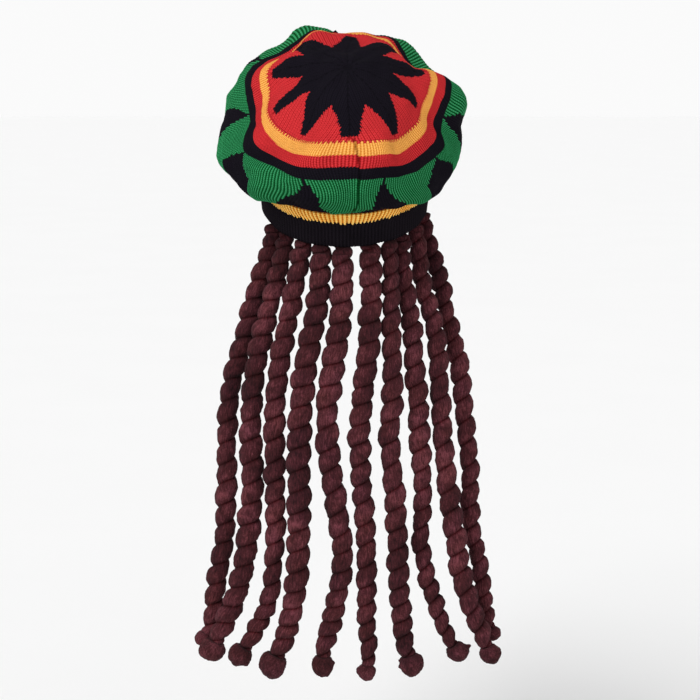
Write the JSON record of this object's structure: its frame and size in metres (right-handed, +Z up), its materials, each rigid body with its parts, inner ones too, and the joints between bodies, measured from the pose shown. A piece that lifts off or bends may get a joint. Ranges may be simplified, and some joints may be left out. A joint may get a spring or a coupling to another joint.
{
  "type": "knitted rasta tam with attached twisted locks",
  "caption": "Puffed knitted tam, star, rings and trapezoids in black, red, gold and green, ribbed band, brown twisted knit locks hanging at the back.",
  "frame": {"origin": "centre of the head band's lower edge, where the cap sits on a head", "axes": "+Z up, the wearer faces +Y, +X is the wearer's right, the locks hang at the back (-Y)"},
  "size_m": [0.3035, 0.2542, 0.6359],
  "materials": {
    "crown_knit": "matt jacquard knit, black star, red triangles, gold, red and black rings, green trapezoids on black",
    "band_rib": "matt rib knit, gold stripe above black",
    "lock_knit": "matt padded knit, dark reddish brown",
    "knot_knit": "matt padded knit, dark reddish brown, tied"
  },
  "bodies": {
    "root": {"crown": "crown_knit", "headband": "band_rib", "lock_01": "lock_knit", "lock_02": "lock_knit", "lock_03": "lock_knit", "lock_04": "lock_knit", "lock_05": "lock_knit", "lock_06": "lock_knit", "lock_07": "lock_knit", "lock_08": "lock_knit", "lock_09": "lock_knit", "lock_10": "lock_knit", "end_knot_01": "knot_knit", "end_knot_02": "knot_knit", "end_knot_03": "knot_knit", "end_knot_04": "knot_knit", "end_knot_05": "knot_knit", "end_knot_06": "knot_knit", "end_knot_07": "knot_knit", "end_knot_08": "knot_knit", "end_knot_09": "knot_knit", "end_knot_10": "knot_knit"}
  },
  "joints": []
}
